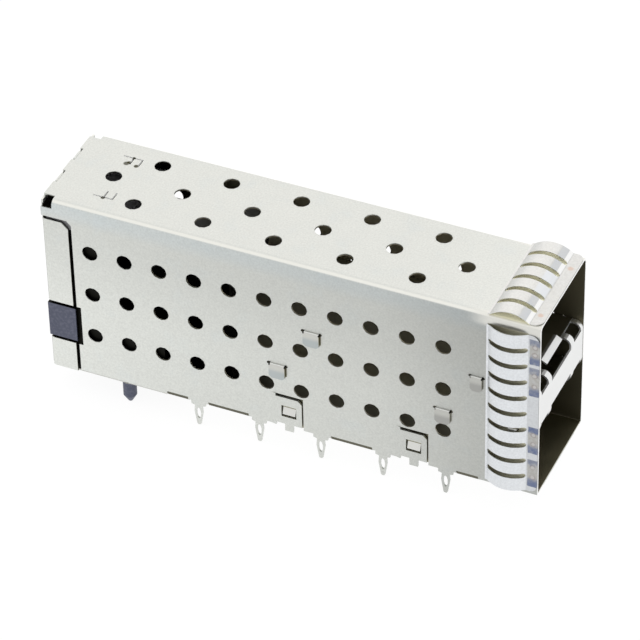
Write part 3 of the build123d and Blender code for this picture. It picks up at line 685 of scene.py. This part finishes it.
def spring_steel():
    """Bright spring strip: fine lengthwise polish, darker collars, a top strip in a darker copy of the colour
    as painted shade, whose front flats carry a pale painted highlight on its middle fingers and painted light
    and shade on the outer ones, and heat tints where the collars are welded. On the top collar there are two
    brown spots."""
    low_tone, high_tone, flat_shade_tone = 0.95, 1.05, 0.86
    top_shade_depth, flat_shade_depth, spot_depth = 0.9, 0.8, 0.55
    top_collar_fall, side_collar_fall = 0.06, 0.17
    plain_rough = 0.33
    colours = settings().colours
    finish = Finish("bright_spring_steel")
    fine = finish.noise(7.0, stretch=(1, 0.12, 1))
    clouds = finish.noise(0.8)
    grain = finish.noise(4.0, detail=3.0)
    ragged = finish.noise(2.4, detail=3.0).swing(1.1)
    on_top = finish.z.step(TOP_MM - 0.02, TOP_MM + 0.02)
    on_collar = finish.behind.step(1.5, 1.4)
    outer = finish.side.step(2.3, 2.5) * on_top
    base = (clouds * 0.5 + 0.25).tint(times(colours.spring, low_tone), times(colours.spring, high_tone))
    # Painted shade: the top strip in a darker copy of the spring colour
    base = (on_top * (clouds.swing(0.4) + top_shade_depth)).tint(base, colours.spring_top_shade)
    base = base.scaled(fine.swing(0.12) + grain.swing(0.3) + 1)
    base = base.scaled(1 - on_top * on_collar * top_collar_fall)
    # Painted highlight on the middle fingers' front flats, painted shade and light on the outer fingers' two
    # flats
    base = (finish.behind.band(1.55, 2.9, soft=0.12) * (on_top - outer)).tint(base, colours.finger)
    shaded_second_flats = finish.behind.band(1.95, 2.75, soft=0.05) * outer * (clouds.swing(2) + flat_shade_depth)
    base = shaded_second_flats.tint(base, times(colours.spring, flat_shade_tone))
    lit_first_flats = finish.behind.band(1.5, 1.95, soft=0.05) * outer
    base = lit_first_flats.tint(base, colours.edge)
    base = base.scaled(1 - (1 - on_top) * on_collar * side_collar_fall)
    base = with_side_welds(finish, base, ragged)
    for place, away in TOP_SPOTS:
        reach = (finish.x - place).hypot(finish.behind - away) + ragged * 0.2
        base = (reach.step(0.46, 0.2) * on_top * spot_depth).tint(base, colours.weld_spot)
    finish.set(base_color=base, metallic=1.0, roughness=fine.swing(0.16) + plain_rough)
    finish.bump(fine, strength=0.12, distance=0.01)
    return finish.material


def housing_plastic():
    """Moulded filled plastic: blue-grey with paler flecks and a fine matt grain, painted shade inside the
    cage, painted light that makes its top grey, and a pale band of painted light at the lower edges of its
    sides."""
    fleck_depth = 0.9
    plain_rough = 0.52
    colours = settings().colours
    finish = Finish("housing_plastic")
    flecks = finish.noise(2.6, detail=4.0)
    grain = finish.noise(14.0)
    on_top = finish.z.step(21.6, 21.8)
    lugs = finish.side.step(7.0, 7.2).largest(finish.y.step(REAR_MM - 0.2, REAR_MM - 0.05))
    lugs = lugs * finish.z.step(10.05, 10.0)
    pegs = finish.z.step(0.02, -0.02)
    outside = lugs.largest(pegs).largest(on_top)
    base = (flecks.step(0.40, 0.72) * fleck_depth).tint(colours.plastic, colours.plastic_pale)
    # Painted shade inside the cage, dark and metallic; painted light on the top under the vents
    base = outside.tint(colours.plastic_shade, on_top.tint(base, colours.plastic_top_light))
    # Painted light: a pale band at the lower edges of the sides
    foot = finish.side.step(6.66, 6.72) * finish.z.step(0.24, 0.18) * finish.z.step(-0.03, -0.01)
    base = foot.tint(base, colours.plastic_foot_light)
    finish.set(base_color=base, roughness=grain.swing(0.25) + plain_rough, metallic=1 - outside)
    finish.bump(grain * 0.7 + flecks * 0.3, strength=0.25, distance=0.03)
    return finish.material


def contact_metal():
    """Gold plated beams, and tin plated tails below the board's surface."""
    plain_rough = 0.28
    colours = settings().colours
    finish = Finish("contact_plating")
    grain = finish.noise(10.0)
    tail = finish.z.step(0.3, -0.3)
    base = tail.tint(colours.gold, colours.tin)
    finish.set(base_color=base, metallic=1.0, roughness=grain.swing(0.12) + plain_rough)
    finish.bump(grain, strength=0.08, distance=0.01)
    return finish.material


def dress(node, material):
    """Gives a CAD node one material."""
    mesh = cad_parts[node].data
    mesh.materials.clear()
    mesh.materials.append(material)


def new_piece(name, points, quads, material, sharp_degrees):
    """A mesh object from an array of points and an array of quads, riding on the cage."""
    mesh = bpy.data.meshes.new(name)
    mesh.from_pydata(points.reshape(-1, 3), [], quads.reshape(-1, 4))
    mesh.validate()
    mesh.shade_smooth()
    mesh.set_sharp_from_angle(angle=math.radians(sharp_degrees))
    mesh.materials.append(material)
    piece = bpy.data.objects.new(name, mesh)
    bpy.context.scene.collection.objects.link(piece)
    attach(piece, BODY)
    return piece


def vent_frames(vents):
    """Centre, axis and two cross directions of every vent, as four arrays of one row a vent."""
    columns = FRONT + vents.first + vents.pitch * np.arange(vents.columns)
    rows = vents.middle + vents.row_pitch * np.array([-1.0, 0.0, 1.0])
    wall_y, wall_z = (grid.ravel() for grid in np.meshgrid(columns, rows, indexing="ij"))
    centres = []
    axes = []
    for side in (-1.0, 1.0):
        wall_x = np.full(wall_y.shape, side * (HALF_WIDTH - vents.sheet / 2))
        centres.append(np.stack([wall_x, wall_y, wall_z], 1))
        axes.append(np.tile([side, 0.0, 0.0], (len(wall_y), 1)))
    middle_y = columns[0::2]
    outer_y = np.repeat(columns[1::2], 2)
    outer_x = np.tile([-vents.top_offset, vents.top_offset], len(columns[1::2]))
    top_x = np.concatenate([np.zeros(len(middle_y)), outer_x])
    top_y = np.concatenate([middle_y, outer_y])
    top_z = np.full(len(top_x), TOP - vents.sheet / 2)
    centres.append(np.stack([top_x, top_y, top_z], 1))
    axes.append(np.tile([0.0, 0.0, 1.0], (len(top_x), 1)))
    centres = np.concatenate(centres)
    axes = np.concatenate(axes)
    along = np.tile([0.0, 1.0, 0.0], (len(axes), 1))
    return centres, axes, along, np.cross(axes, along)


def vent_rim_surface(vents):
    """Rims of all vents. Each is a closed profile of radius and height carried round the vent's axis: flat on
    both faces, upright in the hole, with its two inner edges rounded. A point is the centre plus the radius
    times the turned cross directions plus the height times the axis."""
    half = vents.sheet / 2 + vents.proud
    inner = vents.radius
    outer = inner + vents.rim
    edge = vents.edge
    cut = edge * (1 - math.sqrt(0.5))
    profile = np.array([
        (outer, half), (inner + edge, half), (inner + cut, half - cut), (inner, half - edge),
        (inner, edge - half), (inner + cut, cut - half), (inner + edge, -half), (outer, -half),
    ])
    turns = np.linspace(0, 2 * np.pi, vents.segments, endpoint=False)
    centres, axes, first, second = vent_frames(vents)
    spokes = (
        np.cos(turns)[None, :, None] * first[:, None, :] + np.sin(turns)[None, :, None] * second[:, None, :]
    )
    points = (
        centres[:, None, None, :]
        + profile[None, None, :, :1] * spokes[:, :, None, :]
        + profile[None, None, :, 1:] * axes[:, None, None, :]
    )
    index = np.arange(points[..., 0].size).reshape(points.shape[:3])
    ahead = np.roll(index, -1, axis=1)
    quads = np.stack([index, np.roll(index, -1, axis=2), np.roll(ahead, -1, axis=2), ahead], -1)
    return points, quads


def spring_profile(springs, places):
    """Height of the strip's middle over the sheet at each distance from the front edge: flat collar, two
    straight flats of the rise, a parabola up to the crest and a parabola down to the foot."""
    knots = [0.0, springs.collar, springs.first_fold, springs.second_fold]
    rises = [0.0, 0.0, springs.first_rise, springs.second_rise]
    rise = np.interp(places, knots, rises)
    lead = (springs.crest - places) / (springs.crest - springs.second_fold)
    climb = springs.bow - (springs.bow - springs.second_rise) * lead ** 2
    fall = springs.bow * (1 - ((places - springs.crest) / (springs.foot - springs.crest)) ** 2)
    height = np.where(places <= springs.second_fold, rise, np.where(places <= springs.crest, climb, fall))
    return np.where(places >= springs.foot, 0.0, height) + springs.sheet / 2


def spring_rows(springs, setback, end):
    """Distances from the front edge at which the strip has a row of points, close together at round ends."""
    corner_steps, slot_steps, flat_steps, climb_steps, fall_steps = 9, 7, 4, 6, 16
    decimals = 7
    corner = springs.corner * (1 - np.cos(np.linspace(0.0, np.pi / 2, corner_steps)))
    slot = springs.slot / 2 * (1 - np.cos(np.linspace(0.0, np.pi / 2, slot_steps)))
    return np.unique(np.round(np.concatenate([
        setback + corner,
        springs.slot_start + slot,
        np.linspace(springs.collar, springs.first_fold, flat_steps),
        np.linspace(springs.first_fold, springs.second_fold, flat_steps),
        np.linspace(springs.second_fold, springs.crest, climb_steps),
        np.linspace(springs.crest, springs.foot, fall_steps),
        springs.slot_end - slot,
        [end],
    ]), decimals))


def spring_strip_surface(springs, width, setback, end, origin, across, outward):
    """One strip as a sheet over a grid. The first parameter runs across the fingers, the second from front
    to rear. A finger's half width is half the pitch less the slot's half width, which follows a circle at
    the slot's round ends, and the collar's corners follow a circle as well and curl up by the square of
    their nearness. Both faces are the profile moved along its normal by half the sheet, and rim quads close
    every border."""
    least_slot = 0.35     # slot's least width at its ends, as a share of its full width
    curl_reach = 1.8      # of the curl, in corner radii
    finger_points = 4     # across a finger
    fingers = round(width / springs.pitch)
    rows = spring_rows(springs, setback, end)
    height = spring_profile(springs, rows)
    slope = np.gradient(height, rows)
    bend = np.stack([-slope, np.ones_like(slope)], 1) / np.sqrt(1 + slope ** 2)[:, None]
    radius = springs.slot / 2
    inset = np.clip(np.minimum(rows - springs.slot_start, springs.slot_end - rows), 0.0, radius)
    slot_half = np.maximum(np.sqrt(radius ** 2 - (radius - inset) ** 2), least_slot * radius)
    lead = np.clip(springs.corner - (rows - setback), 0.0, springs.corner)
    corner = springs.corner - np.sqrt(springs.corner ** 2 - lead ** 2)
    end_half = (width - (fingers - 1) * springs.pitch) / 2
    left = np.tile((springs.pitch / 2 - slot_half)[:, None], (1, fingers))
    right = left.copy()
    left[:, 0] = end_half - corner
    right[:, -1] = end_half - corner
    middles = springs.pitch * (np.arange(fingers) - (fingers - 1) / 2)
    shares = np.linspace(0.0, 1.0, finger_points)
    places = (middles - left)[..., None] + (left + right)[..., None] * shares
    places = places.reshape(len(rows), -1)
    away = np.hypot(width / 2 - np.abs(places), (rows - setback)[:, None]) / (curl_reach * springs.corner)
    curl = springs.corner_lift * np.clip(1 - away, 0.0, 1.0) ** 2
    faces = []
    for side in (0.5, -0.5):
        along = rows + bend[:, 0] * side * springs.sheet
        lift = (height + bend[:, 1] * side * springs.sheet)[:, None] + curl
        faces.append(
            np.asarray(origin)
            + places[..., None] * np.asarray(across)
            + along[:, None, None] * np.array([0.0, 1.0, 0.0])
            + lift[..., None] * np.asarray(outward)
        )
    index = np.arange(places.size).reshape(places.shape)
    quads = np.stack([index[:-1, :-1], index[:-1, 1:], index[1:, 1:], index[1:, :-1]], -1)
    gap = np.arange(places.shape[1] - 1) % finger_points == finger_points - 1
    middle_rows = (rows[:-1] + rows[1:]) / 2
    cut = (middle_rows > springs.slot_start) & (middle_rows < springs.slot_end)
    outer = quads[~(cut[:, None] & gap[None, :])]
    starts = outer.reshape(-1)
    stops = np.roll(outer, -1, axis=1).reshape(-1)
    keys = starts * places.size + stops
    border = ~np.isin(keys, stops * places.size + starts)
    first, last = starts[border], stops[border]
    rim = np.stack([last, first, first + places.size, last + places.size], 1)
    inner = outer[:, ::-1] + places.size
    return np.concatenate(faces), np.concatenate([outer, inner, rim])


def hem_surface(hems):
    """The hems of the floor plate, one behind each notch of the walls. Each is a closed profile across the
    cage, an upright bar with rounded lower edges, carried along the notch and closed by quads between
    opposite points of the profile."""
    edge_steps = 4
    turns = np.linspace(0.0, np.pi / 2, edge_steps)
    half = hems.width / 2 - hems.edge
    low = np.stack([half + hems.edge * np.sin(turns), hems.edge - hems.edge * np.cos(turns)], 1)
    head = np.array([(hems.width / 2, hems.height), (-hems.width / 2, hems.height)])
    profile = np.concatenate([low[::-1] * (-1, 1), low, head])
    count = len(profile)
    notches = FRONT + MM * np.array(NOTCHES) + hems.margin * np.array([-1.0, 1.0])
    middle = HALF_WIDTH - hems.gap - hems.width / 2
    sides = np.array([-1.0, 1.0])
    shape = (len(sides), len(notches), 2, count)
    x = sides[:, None, None, None] * middle + profile[:, 0]
    y = notches[None, :, :, None]
    z = WALL_FOOT + hems.rise - hems.height + profile[:, 1]
    points = np.stack([np.broadcast_to(axis, shape) for axis in (x, y, z)], -1)
    index = np.arange(count)
    ahead = np.roll(index, -1)
    walls = np.stack([index, index + count, ahead + count, ahead], 1)
    pairs = np.arange(count // 2 - 1)
    cap = np.stack([pairs, pairs + 1, count - 2 - pairs, count - 1 - pairs], 1)
    bar = np.concatenate([walls, cap, cap[:, ::-1] + count])
    starts = 2 * count * np.arange(len(sides) * len(notches))
    return points, starts[:, None, None] + bar


class CAGE_OT_sheet_finish(bpy.types.Operator):
    """Gives the folded sheets their plated steel"""

    bl_idname = "object.cage_sheet_finish"
    bl_label = "Sheet finish"

    def execute(self, context):
        steel = shell_steel()
        dress("cage_shell", steel)
        dress("rear_cover", steel)
        dress("bottom_plate", floor_steel())
        dress("separator", separator_steel())
        return {"FINISHED"}


class CAGE_OT_vent_rims(bpy.types.Operator):
    """Builds the smooth rims of all vents as one piece"""

    bl_idname = "object.cage_vent_rims"
    bl_label = "Vent rims"

    def execute(self, context):
        material = bpy.data.materials.get("plated_steel")
        if material is None:
            raise RuntimeError("the sheet finish has to run before the vent rims")
        points, quads = vent_rim_surface(settings().vents)
        new_piece("vent_rims", points, quads, material, RIM_SMOOTH)
        return {"FINISHED"}


class CAGE_OT_floor_hems(bpy.types.Operator):
    """Builds the floor plate's hems behind the walls' notches as one piece"""

    bl_idname = "object.cage_floor_hems"
    bl_label = "Floor hems"

    def execute(self, context):
        points, quads = hem_surface(settings().hems)
        new_piece("floor_hems", points, quads, hem_steel(), HEM_SMOOTH)
        return {"FINISHED"}


class CAGE_OT_spring_strips(bpy.types.Operator):
    """Builds the four spring strips in place of the plain ones"""

    bl_idname = "object.cage_spring_strips"
    bl_label = "Spring strips"

    def execute(self, context):
        springs = settings().springs
        material = spring_steel()
        for name, node in SPRING_NODES.items():
            low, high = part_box(node)
            middle = (low + high) / 2
            setback = low.y - FRONT
            end = high.y - FRONT
            if node.endswith(("top", "bottom")):
                up = 1.0 if node.endswith("top") else -1.0
                width = high.x - low.x
                origin = (middle.x, FRONT, low.z if up > 0 else high.z)
                across = (up, 0.0, 0.0)
                outward = (0.0, 0.0, up)
            else:
                side = 1.0 if node.endswith("right") else -1.0
                width = high.z - low.z
                origin = (low.x if side > 0 else high.x, FRONT, middle.z)
                across = (0.0, 0.0, -side)
                outward = (side, 0.0, 0.0)
            points, quads = spring_strip_surface(springs, width, setback, end, origin, across, outward)
            piece = new_piece(name, points, quads, material, STRIP_SMOOTH)
            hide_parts(node)
        return {"FINISHED"}


class CAGE_OT_housing_finish(bpy.types.Operator):
    """Gives the connector housing its moulded plastic"""

    bl_idname = "object.cage_housing_finish"
    bl_label = "Housing finish"

    def execute(self, context):
        dress("connector_housing", housing_plastic())
        return {"FINISHED"}


class CAGE_OT_contact_finish(bpy.types.Operator):
    """Gives every contact its plating"""

    bl_idname = "object.cage_contact_finish"
    bl_label = "Contact finish"

    def execute(self, context):
        plating = contact_metal()
        for node in CONTACT_NODES:
            dress(node, plating)
        return {"FINISHED"}


class CAGE_OT_stage(bpy.types.Operator):
    """Sets the floor, the soft light and the camera"""

    bl_idname = "object.cage_stage"
    bl_label = "Stage"

    def execute(self, context):
        stage = settings().stage
        scene = context.scene
        make_floor(scene, stage)
        make_light(scene, stage)
        make_camera(scene, stage)
        scene.view_settings.view_transform = "Standard"
        return {"FINISHED"}


def make_floor(scene, stage):
    """A plain pale square under the tails, as a grid of four points."""
    half = stage.floor_size / 2
    level = CAD_BOX[0][2]
    across = np.array([-half, half])
    x, y = np.meshgrid(across, across)
    points = np.stack([x.ravel(), y.ravel(), np.full(4, level)], 1)
    mesh = bpy.data.meshes.new("studio_floor")
    mesh.from_pydata(points, [], [(0, 1, 3, 2)])
    floor = bpy.data.objects.new("studio_floor", mesh)
    scene.collection.objects.link(floor)
    finish = Finish("studio_white")
    grey = stage.floor_grey
    finish.set(base_color=(grey, grey, grey, 1.0), roughness=0.9, emission_color=WHITE)
    finish.set(emission_strength=stage.floor_glow, specular_ior_level=0.0)
    mesh.materials.append(finish.material)


def make_light(scene, stage):
    """White surroundings, and one large soft light that the top mirrors towards the camera."""
    world = bpy.data.worlds.new("studio_sky")
    world.use_nodes = True
    background = world.node_tree.nodes["Background"]
    background.inputs["Color"].default_value = WHITE
    background.inputs["Strength"].default_value = stage.sky
    scene.world = world
    back = view_axes(stage)[2]
    mirrored = Vector((-back.x, -back.y, back.z))
    middle = Vector((0.0, (FRONT + REAR) / 2, TOP))
    lamp = bpy.data.lights.new("soft_key", "AREA")
    lamp.shape = "SQUARE"
    lamp.size = stage.key_size
    lamp.energy = stage.key_watts
    lamp.color = stage.key_colour
    key = bpy.data.objects.new("soft_key", lamp)
    key.location = middle + mirrored * stage.key_distance
    key.rotation_euler = mirrored.to_track_quat("Z", "Y").to_euler()
    key.visible_camera = False
    scene.collection.objects.link(key)


def view_axes(stage):
    """The camera's right, up and back directions from its azimuth, elevation and roll."""
    a, e, r = stage.azimuth, stage.elevation, stage.roll
    back = Vector((math.sin(a) * math.cos(e), -math.cos(a) * math.cos(e), math.sin(e)))
    level = Vector((math.cos(a), math.sin(a), 0.0))
    upright = back.cross(level)
    right = math.cos(r) * level + math.sin(r) * upright
    up = math.cos(r) * upright - math.sin(r) * level
    return right, up, back


def make_camera(scene, stage):
    """A camera at the eye, turned by its axes."""
    lens = bpy.data.cameras.new("camera")
    lens.sensor_fit = "HORIZONTAL"
    lens.sensor_width = SENSOR_WIDTH
    lens.lens = stage.lens
    camera = bpy.data.objects.new("camera", lens)
    turn = Matrix(view_axes(stage)).transposed().to_4x4()
    camera.matrix_world = Matrix.Translation(Vector(stage.eye)) @ turn
    scene.collection.objects.link(camera)
    scene.camera = camera


OPERATORS = (
    CAGE_OT_sheet_finish,
    CAGE_OT_vent_rims,
    CAGE_OT_floor_hems,
    CAGE_OT_spring_strips,
    CAGE_OT_housing_finish,
    CAGE_OT_contact_finish,
    CAGE_OT_stage,
)


class CAGE_PT_panel(bpy.types.Panel):
    """Lists the cage's steps in the sidebar"""

    bl_idname = "CAGE_PT_panel"
    bl_label = "Transceiver cage"
    bl_space_type = "VIEW_3D"
    bl_region_type = "UI"
    bl_category = "Cage"

    def draw(self, context):
        for operator in OPERATORS:
            self.layout.operator(operator.bl_idname)


GROUPS = (VentSizes, SpringSizes, HemSizes, FinishColours, StageValues, CageSettings)


def register():
    for item in (*GROUPS, *OPERATORS, CAGE_PT_panel):
        bpy.utils.register_class(item)
    bpy.types.Scene.cage_settings = PointerProperty(type=CageSettings)


def unregister():
    del bpy.types.Scene.cage_settings
    for item in reversed((*GROUPS, *OPERATORS, CAGE_PT_panel)):
        bpy.utils.unregister_class(item)


def main():
    register()
    bpy.ops.object.cage_sheet_finish()
    bpy.ops.object.cage_vent_rims()
    bpy.ops.object.cage_floor_hems()
    bpy.ops.object.cage_spring_strips()
    bpy.ops.object.cage_housing_finish()
    bpy.ops.object.cage_contact_finish()
    bpy.ops.object.cage_stage()


if __name__ == "__main__":
    main()
